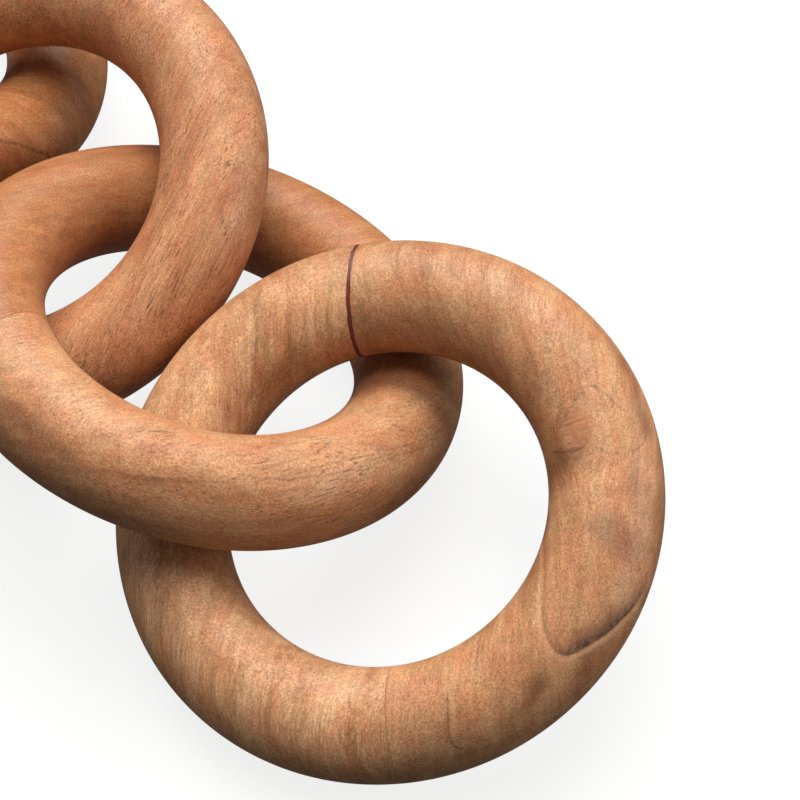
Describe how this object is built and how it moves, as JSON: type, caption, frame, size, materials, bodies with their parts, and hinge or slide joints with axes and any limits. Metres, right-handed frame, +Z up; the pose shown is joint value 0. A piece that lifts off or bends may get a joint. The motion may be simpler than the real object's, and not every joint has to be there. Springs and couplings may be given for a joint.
{
  "type": "wooden chain",
  "caption": "Decorative loose chain of thick round wooden ring links, each made of two glued half rings, lying on a surface with its links leaning on each other.",
  "frame": {"origin": "on the ground, under the middle of the chain's bounding box", "axes": "+Z up from the ground the chain lies on; +X along the chain, from link 4 to link 1, the end link that shows whole in the picture; +Y across the chain"},
  "size_m": [0.449, 0.1754, 0.1022],
  "materials": {
    "figured_wood": "satin, light orange brown with fine dark pores, a knot and a dark crescent of figure",
    "pale_wood": "satin, pale tan with long fine dark lines",
    "red_wood": "satin, smooth reddish tan with few lines",
    "streaked_wood": "satin, tan with short dark streaks running straight through the ring"
  },
  "bodies": {
    "root": {"link_1_knotted_half": "figured_wood", "link_1_plain_half": "figured_wood", "link_2_pale_half": "pale_wood", "link_2_red_half": "red_wood", "link_3_streaked_half": "streaked_wood", "link_3_plain_half": "streaked_wood", "link_4_striped_half": "red_wood", "link_4_plain_half": "red_wood"}
  },
  "joints": []
}
